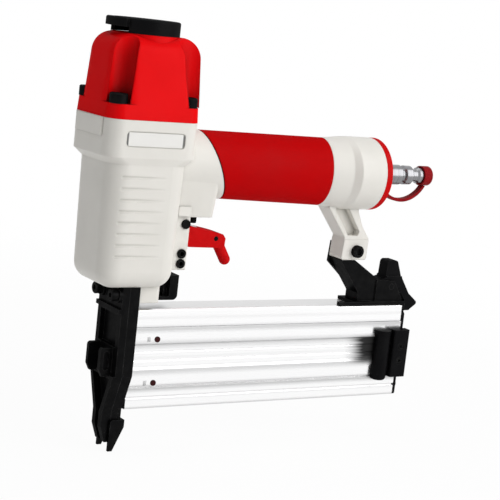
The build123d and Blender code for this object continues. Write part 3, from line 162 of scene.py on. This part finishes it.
class Finish(Graph):
    """A surface finish: patterns on the piece's own coordinates that feed one Principled shader."""

    def __init__(self, name, constants):
        self.material = bpy.data.materials.new(name)
        super().__init__(self.material)
        self.shader = self.tree.nodes["Principled BSDF"]
        for socket, value in constants.items():
            self.shader.inputs[socket].default_value = value
        self.place = self.node("ShaderNodeTexCoord", {}, {}, "Object")

    def noise(self, scale, detail=3.0, stretch=None):
        place = self.place
        if stretch:
            place = self.node("ShaderNodeMapping", {}, {"Vector": self.place, "Scale": stretch})
        sockets = {"Vector": place, "Scale": scale, "Detail": detail, "Roughness": 0.55}
        return self.node("ShaderNodeTexNoise", {}, sockets, "Fac")

    def patches(self, scale, low, high):
        stops = [(low, 0.0), (high, 1.0)]
        return self.node("ShaderNodeValToRGB", {"stops": stops}, {"Fac": self.noise(scale, 4.0)})

    def blend(self, share, first, second):
        return self.node("ShaderNodeMix", {"data_type": "RGBA"}, {0: share, 6: first, 7: second}, 2)

    def along(self, axis):
        return self.node("ShaderNodeSeparateXYZ", {}, {"Vector": self.place}, axis)

    def fade(self, reading, start, stop):
        """One at the start, falling smoothly to nothing at the stop."""
        sockets = {"Value": reading, "From Min": start, "From Max": stop, "To Min": 1.0, "To Max": 0.0}
        return self.node("ShaderNodeMapRange", {"interpolation_type": "SMOOTHSTEP"}, sockets)

    def edges(self, radius):
        """Where the surface turns a corner, from the difference between its own and a rounded normal."""
        rounded = self.node("ShaderNodeBevel", {"samples": 4}, {"Radius": radius}, "Normal")
        plain = self.node("ShaderNodeNewGeometry", {}, {}, "Normal")
        settings = {"operation": "DOT_PRODUCT"}
        return 1.0 - self.node("ShaderNodeVectorMath", settings, {0: rounded, 1: plain}, "Value")

    def hollows(self, reach):
        """Where the surface lies in a corner or a groove of its own piece, up to one at the deepest."""
        settings = {"samples": 8, "only_local": True}
        return 1.0 - self.node("ShaderNodeAmbientOcclusion", settings, {"Distance": reach}, "AO")

    def feed(self, socket, reading):
        self.tree.links.new(reading.socket, self.shader.inputs[socket])

    def relief(self, height, strength, distance, edge=0.0005):
        rounded = self.node("ShaderNodeBevel", {"samples": 4}, {"Radius": edge}, "Normal")
        sockets = {"Height": height, "Strength": strength, "Distance": distance, "Normal": rounded}
        self.feed("Normal", self.node("ShaderNodeBump", {}, sockets))

    def cover(self, *names):
        for name in names:
            nodes[name].material_slots[0].material = self.material


satin = {"Specular IOR Level": 0.35, "Coat Weight": 0.08, "Coat Roughness": 0.3}
white_paint = Finish("warm_white_paint", satin)
greying = white_paint.patches(38.0, 0.42, 0.7)
specks = white_paint.patches(900.0, 0.68, 0.8)
paint = white_paint.blend(greying * 0.4, (0.80, 0.78, 0.73, 1), (0.72, 0.70, 0.65, 1))
speckled = white_paint.blend(specks * 0.25, paint, (0.52, 0.50, 0.46, 1))
# Painted shade: the white is darkened in the piece's own corners and grooves, where shade falls.
painted_hollow_shade = white_paint.hollows(0.003) * 0.7
white_paint.feed("Base Color", white_paint.blend(painted_hollow_shade, speckled, (0.30, 0.29, 0.26, 1)))
white_paint.feed("Roughness", 0.36 + 0.16 * white_paint.noise(60.0))
white_paint.relief(white_paint.noise(1400.0, 2.0), 0.1, 0.0002, 0.0012)
white_paint.cover("body_housing")

# Label foils: a blank plate of white plastic foil is stuck into the recess on each side of the head.
# Its corners are rounded, and its two ends are painted dark as the shade at the ends of the recess.
foil_length = 0.0352
foil_height = 0.0075
foil_corner = 0.0017
foil_thickness = 0.0003
foil_rim = 0.00008
end_shade_start = 0.0164
end_shade_full = 0.0168
recess_floor = 0.0240
recess_middle = 0.1798
white_foil = Finish("white_label_foil", {"Specular IOR Level": 0.4})
# Painted shade: the foil's two ends are dark, standing in for the shade in the ends of the recess.
from_middle = abs(white_foil.along("X"))
painted_end_shade = 1.0 - white_foil.fade(from_middle, end_shade_start, end_shade_full)
haze = white_foil.noise(45.0)
foil_colour = white_foil.blend(haze, (0.88, 0.87, 0.84, 1), (0.80, 0.79, 0.76, 1))
white_foil.feed("Base Color", white_foil.blend(painted_end_shade * 0.85, foil_colour, (0.03, 0.03, 0.03, 1)))
white_foil.feed("Roughness", 0.3 + 0.15 * haze)
white_foil.relief(white_foil.noise(260.0, 2.0), 0.05, 0.0001, 0.0001)
for side, name in ((-1, "near_label_foil"), (1, "far_label_foil")):
    bpy.ops.object.select_all(action="DESELECT")
    place = (0, side * recess_floor, recess_middle)
    bpy.ops.mesh.primitive_plane_add(size=1, location=place, rotation=(-side * math.pi / 2, 0, 0))
    foil = bpy.context.object
    foil.name = name
    foil.scale = (foil_length, foil_height, 1)
    bpy.ops.object.transform_apply(location=True, rotation=True, scale=True)
    bpy.ops.object.mode_set(mode="EDIT")
    bpy.ops.mesh.select_all(action="SELECT")
    bpy.ops.mesh.bevel(offset=foil_corner, segments=6, affect="VERTICES")
    bpy.ops.object.mode_set(mode="OBJECT")
    sheet_depth = foil.modifiers.new("sheet_depth", "SOLIDIFY")
    sheet_depth.thickness = foil_thickness
    sheet_depth.offset = 1
    bpy.ops.object.modifier_apply(modifier=sheet_depth.name)
    soft_rim = foil.modifiers.new("soft_rim", "BEVEL")
    soft_rim.width = foil_rim
    soft_rim.segments = 2
    bpy.ops.object.modifier_apply(modifier=soft_rim.name)
    foil.data.materials.append(white_foil.material)
    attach(foil, "frame")

# Cylinder sleeve and bumper: a honed steel tube pressed into the barrel, on a block of black rubber.
# The tube shows faint honing lines and a rubber ring seals it in the bore.
bright_steel = Finish("bright_turned_steel", {"Metallic": 1.0})
turning = bright_steel.noise(1.0, 3.0, (200.0, 200.0, 2400.0))
steel = bright_steel.blend(turning * 0.6, (0.66, 0.66, 0.67, 1), (0.50, 0.50, 0.51, 1))
bright_steel.feed("Base Color", steel)
bright_steel.feed("Roughness", 0.2 + 0.18 * turning)
bright_steel.relief(turning, 0.05, 0.0001)
bright_steel.cover("cylinder_sleeve")
seal_rubber = Finish("black_seal_rubber", {"Specular IOR Level": 0.3})
bloom = seal_rubber.patches(200.0, 0.45, 0.75)
rubber = seal_rubber.blend(bloom * 0.6, (0.016, 0.016, 0.016, 1), (0.04, 0.04, 0.04, 1))
seal_rubber.feed("Base Color", rubber)
seal_rubber.feed("Roughness", 0.55 + 0.2 * bloom)
seal_rubber.relief(seal_rubber.noise(1200.0, 2.0), 0.1, 0.0001)
seal_rubber.cover("sleeve_ring", "bumper")

# Drive piston and blade: a turned piston with a rubber ring, and a hardened steel blade pinned into it.
# Both are bare metal, with the same fine turning marks as the sleeve.
bright_steel.cover("drive_piston", "driver_blade", "blade_pin")
seal_rubber.cover("piston_ring")

# Head valve: a moulded ring of pale nylon over the sleeve, with its own rubber ring.
# A steel coil spring between it and the cap's roof keeps it shut and shortens as the valve lifts.
pale_nylon = Finish("pale_nylon", {"Specular IOR Level": 0.4})
clouds = pale_nylon.noise(120.0)
pale_nylon.feed("Base Color", pale_nylon.blend(clouds, (0.76, 0.75, 0.70, 1), (0.66, 0.65, 0.60, 1)))
pale_nylon.feed("Roughness", 0.4 + 0.14 * clouds)
pale_nylon.relief(clouds, 0.06, 0.0002)
pale_nylon.cover("head_valve")
seal_rubber.cover("head_valve_ring")


def flexible_copy(node, finish):
    """A piece with the node's shape and the given finish that stands for it, while the node is hidden."""
    bpy.ops.object.select_all(action="DESELECT")
    piece = bpy.data.objects.new("flexible_" + node, nodes[node].data.copy())
    scene.collection.objects.link(piece)
    piece.select_set(True)
    bpy.context.view_layer.objects.active = piece
    bpy.ops.object.mode_set(mode="EDIT")
    bpy.ops.mesh.select_all(action="SELECT")
    bpy.ops.mesh.remove_doubles(threshold=0.000002)
    bpy.ops.object.mode_set(mode="OBJECT")
    bpy.ops.object.shade_smooth_by_angle(angle=math.radians(40))
    piece.data.materials.clear()
    piece.data.materials.append(finish.material)
    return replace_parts(piece, node)


def press_spring(node, joint):
    """A copy of a coil spring on the frame; the joint's travel is read, but the spring keeps its length.
    """
    travel = next(slide["range_m"][1] for slide in frame["joints"] if slide["name"] == joint)
    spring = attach(flexible_copy(node, bright_steel), "frame")
    bottom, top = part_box(node)
    1 - travel / (top[2] - bottom[2])
    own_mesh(spring)


press_spring("head_valve_spring", "head_valve_lift")

# Cylinder cap: a second casting, sprayed a strong glossy red and sealed to the head with a rubber gasket.
# Four black socket screws stand in its corner grooves.
red_paint = Finish("red_gloss_paint", {"Specular IOR Level": 0.0, "Coat Roughness": 0.22})
deepening = red_paint.patches(30.0, 0.4, 0.7)
red = red_paint.blend(deepening * 0.4, (0.85, 0.004, 0.006, 1), (0.74, 0.003, 0.004, 1))
# Painted shade: the red darkens deep in the cap's corner grooves and joints, where shade falls.
painted_groove_shade = red_paint.hollows(0.012) * 1.6
red_paint.feed("Base Color", red_paint.blend(painted_groove_shade, red, (0.16, 0.001, 0.001, 1)))
red_paint.feed("Coat Weight", 0.04 + 0.05 * red_paint.noise(55.0))
red_paint.relief(red_paint.noise(1200.0, 2.0), 0.12, 0.0002, 0.0010)
red_paint.cover("cylinder_cap")
seal_rubber.cover("cap_gasket")
black_steel = Finish("black_oxide_steel", {"Specular IOR Level": 0.0, "Coat Roughness": 0.3})
rubbed = black_steel.patches(150.0, 0.42, 0.72)
oxide = black_steel.blend(rubbed * 0.7, (0.003, 0.003, 0.0033, 1), (0.008, 0.008, 0.008, 1))
# Lighter edges: partly worn bare steel, partly a painted highlight along the edges.
worn_and_highlit_edge = black_steel.fade(black_steel.edges(0.0006), 0.25, 0.02)
edge_wear_and_highlight = worn_and_highlit_edge * (0.25 + 0.6 * rubbed)
black_steel.feed("Base Color", black_steel.blend(edge_wear_and_highlight, oxide, (0.08, 0.08, 0.08, 1)))
black_steel.feed("Coat Weight", 0.05 + 0.09 * black_steel.noise(260.0))
black_steel.relief(black_steel.noise(2200.0, 2.0), 0.1, 0.0001)
black_steel.cover("cap_screws")

# Exhaust deflector: a hood of black glass-filled nylon that turns on a screw in the middle of the cap.
# The mould gives it a fine spark-eroded grain.
black_nylon = Finish("black_grained_nylon", {"Specular IOR Level": 0.0, "Coat Roughness": 0.4})
grain = black_nylon.noise(1500.0, 2.0)
dusty = black_nylon.patches(70.0, 0.4, 0.7)
nylon = black_nylon.blend(dusty * 0.6, (0.0035, 0.0035, 0.004, 1), (0.008, 0.008, 0.0085, 1))
# Lighter edges: partly polished nylon, partly a painted highlight along the edges.
polished_and_highlit_edge = black_nylon.fade(black_nylon.edges(0.0006), 0.25, 0.02)
black_nylon.feed("Base Color", black_nylon.blend(polished_and_highlit_edge * 0.5, nylon, (0.05, 0.05, 0.05, 1)))
black_nylon.feed("Coat Weight", 0.05 + 0.06 * grain)
black_nylon.relief(grain, 0.25, 0.0002)
black_nylon.cover("exhaust_deflector")
black_steel.cover("deflector_screw")

# Grip sleeve: a tube of soft red rubber pulled over the handle, matt, with a fine grain to hold on to.
# Handling leaves it a little darker and smoother in places.
grip_rubber = Finish("red_grip_rubber", {"Specular IOR Level": 0.0, "Coat Roughness": 0.45})
handled = grip_rubber.patches(26.0, 0.42, 0.72)
grip_red = grip_rubber.blend(handled * 0.6, (0.50, 0.002, 0.003, 1), (0.41, 0.002, 0.003, 1))
grip_rubber.feed("Base Color", grip_red)
grip_rubber.feed("Coat Weight", 0.04 + 0.06 * handled)
grip_rubber.relief(grip_rubber.noise(1700.0, 1.0), 0.3, 0.0002)
grip_rubber.cover("grip_sleeve")

# Grip seam: a thin washer of black rubber lies in the sloping joint between the body and the grip sleeve.
# It is cut from sheet to the handle's oval; its fine dark line is painted shade, a dark piece standing in
# for the shadow inside the joint.
seam_middle = (0.0480, 0, 0.1649)
seam_slope = math.radians(66.5)
seam_half_length = 0.02085
seam_half_width = 0.01615
seam_thickness = 0.0006
seam_rim = 0.00012
seam_inner_share = 0.93
bpy.ops.object.select_all(action="DESELECT")
bpy.ops.mesh.primitive_circle_add(vertices=128, radius=1, fill_type="NOTHING")
seam = bpy.context.object
seam.name = "grip_seam_shade_washer"
bpy.ops.object.mode_set(mode="EDIT")
bpy.ops.mesh.select_all(action="SELECT")
bpy.ops.mesh.extrude_region_move()
bpy.ops.transform.resize(value=(seam_inner_share, seam_inner_share, 1))
bpy.ops.object.mode_set(mode="OBJECT")
seam.scale = (seam_half_length, seam_half_width, 1)
seam.rotation_euler = (0, seam_slope, 0)
seam.location = seam_middle
bpy.ops.object.transform_apply(location=True, rotation=True, scale=True)
washer_depth = seam.modifiers.new("washer_depth", "SOLIDIFY")
washer_depth.thickness = seam_thickness
washer_depth.offset = 0
bpy.ops.object.modifier_apply(modifier=washer_depth.name)
washer_rim = seam.modifiers.new("washer_rim", "BEVEL")
washer_rim.width = seam_rim
washer_rim.segments = 2
bpy.ops.object.modifier_apply(modifier=washer_rim.name)
seam.data.materials.append(seal_rubber.material)
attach(seam, "frame")

# End cap: the casting that closes the handle and carries the arm down to the magazine.
# It has the body's white paint, and two socket screws draw it onto a rubber gasket.
white_paint.cover("end_cap")
seal_rubber.cover("end_cap_gasket")
black_steel.cover("end_cap_screws")

# Tail ring, dust cap and strap: flexible red mouldings, the ring slightly shiny, the cap and strap dull.
# The ring is clipped round the end cap, and the strap keeps the dust cap from being lost.
red_moulding = Finish("red_flexible_moulding", {"Specular IOR Level": 0.0, "Coat Roughness": 0.3})
mottle = red_moulding.patches(120.0, 0.4, 0.7)
moulding_red = red_moulding.blend(mottle * 0.5, (0.60, 0.003, 0.004, 1), (0.50, 0.003, 0.004, 1))
red_moulding.feed("Base Color", moulding_red)
red_moulding.feed("Coat Weight", 0.06 + 0.08 * red_moulding.noise(200.0, 2.0))
red_moulding.relief(red_moulding.noise(900.0, 2.0), 0.08, 0.0001)
red_moulding.cover("tail_ring")
dull_rubber = Finish("dull_red_rubber", {"Specular IOR Level": 0.05})
scuffs = dull_rubber.patches(160.0, 0.4, 0.7)
dull_rubber.feed("Base Color", dull_rubber.blend(scuffs, (0.24, 0.005, 0.008, 1), (0.31, 0.010, 0.013, 1)))
dull_rubber.feed("Roughness", 0.5 + 0.15 * scuffs)
dull_rubber.relief(dull_rubber.noise(1100.0, 2.0), 0.12, 0.0001)
dull_rubber.cover("dust_cap")
strap = flexible_copy("dust_strap", dull_rubber)
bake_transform(strap)

# Air plug: steel turned on a lathe and brightly plated, screwed into the end cap.
# Fine turning rings run round its axis.
plating = Finish("bright_plating", {"Metallic": 1.0})
rings = plating.noise(1.0, 2.0, (2600.0, 60.0, 60.0))
plating.feed("Base Color", plating.blend(rings, (0.38, 0.38, 0.39, 1), (0.13, 0.13, 0.14, 1)))
plating.feed("Roughness", 0.16 + 0.14 * rings)
plating.relief(rings, 0.04, 0.0001)
plating.cover("air_plug")

# Trigger, its lever and the trigger valve: the trigger is a red moulding that hangs on a black cross pin.
# Behind it the black valve is pressed into the handle, and two more pins guide the contact trip.
red_moulding.cover("trigger")
black_steel.cover("trigger_pin", "guide_pins", "lever_pin")
black_nylon.cover("valve_body", "valve_stem")
seal_rubber.cover("valve_ring")
bright_steel.cover("trigger_lever")
press_spring("valve_spring", "valve_stem_push")

# Nose: two steel castings with a black oxide skin, oiled, that hold the blade's channel between them.
# Two socket screws clamp the front plate and the guide to the body.
black_steel.cover("nose_guide", "nose_front_plate", "nose_screws")

# Contact trip: a black foot round the nose tip and the yoke that carries its lift to the trigger lever.
# A steel spring in the body pushes the trip down.
black_steel.cover("contact_foot", "contact_yoke")
press_spring("contact_spring", "contact_trip")

# Magazine rail: an aluminium extrusion with a clear anodised skin and fine drawing lines along its length.
# Screws from the front hold it to the nose.
drawn_aluminium = Finish("drawn_aluminium", {"Metallic": 1.0})
lines = drawn_aluminium.noise(1.0, 4.0, (14.0, 900.0, 900.0))
smears = drawn_aluminium.noise(24.0, 4.0)
height = drawn_aluminium.along("Z")
# Painted shade: dark bands at the heights of the extrusion's steps stand in for the shade and dark
# reflections along the steps, and make the metal rougher there.
shaded_steps = (
    (0.0248, 0.0018, 0.32),
    (0.0307, 0.0018, 0.24),
    (0.0365, 0.0032, 0.52),
    (0.0465, 0.0036, 0.38),
    (0.0542, 0.0014, 0.09),
    (0.0573, 0.0015, 0.11),
    (0.0618, 0.0038, 0.42),
    (0.0711, 0.0033, 0.45),
    (0.0778, 0.0016, 0.11),
    (0.0835, 0.0021, 0.34),
)
painted_shade_and_punch_spots = 0.0
for step_height, spread, depth in shaded_steps:
    painted_shade_and_punch_spots = painted_shade_and_punch_spots + depth * drawn_aluminium.fade(abs(height - step_height), 0.0, spread)
painted_shade_and_punch_spots = painted_shade_and_punch_spots * (0.85 + 0.3 * smears)
# Painted reflection: a dark patch on the near side in front of the finger block, at its height, stands in
# for the block's dark reflection in the metal.
block_reflection_front = 0.148
block_reflection_rear = 0.165
block_reflection_waver = 0.012
finger_height = 0.0545
near_side = drawn_aluminium.fade(drawn_aluminium.along("Y"), -0.007, -0.004)
length = drawn_aluminium.along("X")
beside_block = drawn_aluminium.fade(length - block_reflection_waver * lines, block_reflection_rear, block_reflection_front)
at_finger_height = drawn_aluminium.fade(abs(height - finger_height), 0.004, 0.011)
painted_shade_and_punch_spots = painted_shade_and_punch_spots + near_side * at_finger_height * beside_block
# Darker spots beside the punch marks.
punch_place = 0.0166
punch_heights = (0.0395, 0.0650)
beside_punch = drawn_aluminium.fade(abs(length - punch_place), 0.0005, 0.0012)
for punch_height in punch_heights:
    at_punch = drawn_aluminium.fade(abs(height - punch_height), 0.0009, 0.0018)
    painted_shade_and_punch_spots = painted_shade_and_punch_spots + 0.5 * near_side * beside_punch * at_punch
bare = drawn_aluminium.blend(lines * 0.5, (0.97, 0.97, 0.97, 1), (0.90, 0.90, 0.91, 1))
drawn_aluminium.feed("Base Color", drawn_aluminium.blend(painted_shade_and_punch_spots, bare, (0.03, 0.03, 0.03, 1)))
drawn_aluminium.feed("Roughness", 0.12 + 0.08 * lines + 0.06 * smears + 0.4 * painted_shade_and_punch_spots)
drawn_aluminium.relief(lines, 0.05, 0.0001)
drawn_aluminium.cover("magazine_rail")
black_steel.cover("rail_screws")

# Magazine cover: the second extrusion, which slides back on the rail to be filled.
# Two rivets with dark red lacquer show on its side, and a black plate closes its end.
drawn_aluminium.cover("magazine_cover")
lacquer = Finish("dark_red_lacquer", {"Specular IOR Level": 0.1})
crazing = lacquer.noise(600.0, 2.0)
lacquer.feed("Base Color", lacquer.blend(crazing, (0.025, 0.003, 0.003, 1), (0.05, 0.006, 0.006, 1)))
lacquer.feed("Roughness", 0.3 + 0.2 * crazing)
lacquer.relief(crazing, 0.1, 0.0001)
lacquer.cover("cover_rivets")
black_nylon.cover("cover_end_plate")
black_steel.cover("end_plate_screws")

# Finger block: the black nylon grip on the cover's side, held by two screws.
# It has the deflector's grain.
black_nylon.cover("finger_block")
black_steel.cover("block_screws")

# Pusher: a folded steel plate inside the cover that presses the brads forwards.
# A rolled ribbon spring pulls it, hooked to the cover's front end, and lengthens as the pusher goes back.
bright_steel.cover("pusher")
ribbon = flexible_copy("feed_spring", bright_steel)
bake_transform(ribbon)

# Rear bracket and latch: a black steel bracket bolted between the end cap's arm and the rail.
# The nylon latch lever in it turns on a pin and hooks the cover shut.
black_steel.cover("rear_bracket", "bracket_screws", "arm_bolt", "arm_nut", "latch_pin")
black_nylon.cover("latch_lever")
bright_steel.cover("latch_spring")

# Floor and studio: a plain white sheet under the nailer and a white room.
# The camera and shiny metal see both as white, and near the nailer the sheet keeps its faint shadow.
floor_size = 12
floor_gap = 0.0006
bpy.ops.object.select_all(action="DESELECT")
bpy.ops.mesh.primitive_plane_add(size=floor_size, location=(0, 0, cad_box[0][2] - floor_gap))
floor = bpy.context.object
floor.name = "white_floor"
bpy.ops.object.transform_apply(location=True, rotation=True, scale=True)
matt_white = {"Base Color": (0.93, 0.93, 0.93, 1), "Roughness": 0.9, "Specular IOR Level": 0.0}
sheet = Finish("white_sheet", matt_white)


def seen_directly(graph):
    """One where the camera or a shiny surface looks at it, else nothing."""
    by_camera = graph.node("ShaderNodeLightPath", {}, {}, "Is Camera Ray")
    by_metal = graph.node("ShaderNodeLightPath", {}, {}, "Is Glossy Ray")
    return graph.node("ShaderNodeMath", {"operation": "MAXIMUM"}, {0: by_camera, 1: by_metal})


glow = sheet.node("ShaderNodeEmission", {}, {"Color": (1, 1, 1, 1), "Strength": 1.0})
lit = Reading(sheet, sheet.shader.outputs[0])
distance = sheet.node("ShaderNodeVectorMath", {"operation": "LENGTH"}, {0: sheet.place}, "Value")
shadowed = 0.05 * sheet.fade(distance, 0.25, 0.8)
whiteness = (1.0 - shadowed) * seen_directly(sheet)
whitened = sheet.node("ShaderNodeMixShader", {}, {0: whiteness, 1: lit, 2: glow})
sheet.tree.links.new(whitened.socket, sheet.tree.nodes["Material Output"].inputs["Surface"])
floor.data.materials.append(sheet.material)
scene.view_settings.view_transform = "Standard"
scene.world = bpy.data.worlds.new("white_room")
room = Graph(scene.world)
sky = room.tree.nodes["Background"]
sky.inputs["Color"].default_value = (1, 1, 1, 1)
room_light = 0.26
strength = room_light + (1.0 - room_light) * seen_directly(room)
room.tree.links.new(strength.socket, sky.inputs["Strength"])
soft_boxes = (
    ("right_box", (1.0, -1.3, 0.9), 1.9, 26),
    ("top_box", (0.1, 0.2, 1.6), 1.2, 6),
    ("left_box", (-1.4, -0.5, 0.6), 1.0, 1.4),
)
for name, position, size, watts in soft_boxes:
    lamp = bpy.data.lights.new(name, "AREA")
    lamp.size = size
    lamp.energy = watts
    box = bpy.data.objects.new(name, lamp)
    scene.collection.objects.link(box)
    box.location = position
    box.rotation_euler = (view_target - Vector(position)).to_track_quat("-Z", "Y").to_euler()
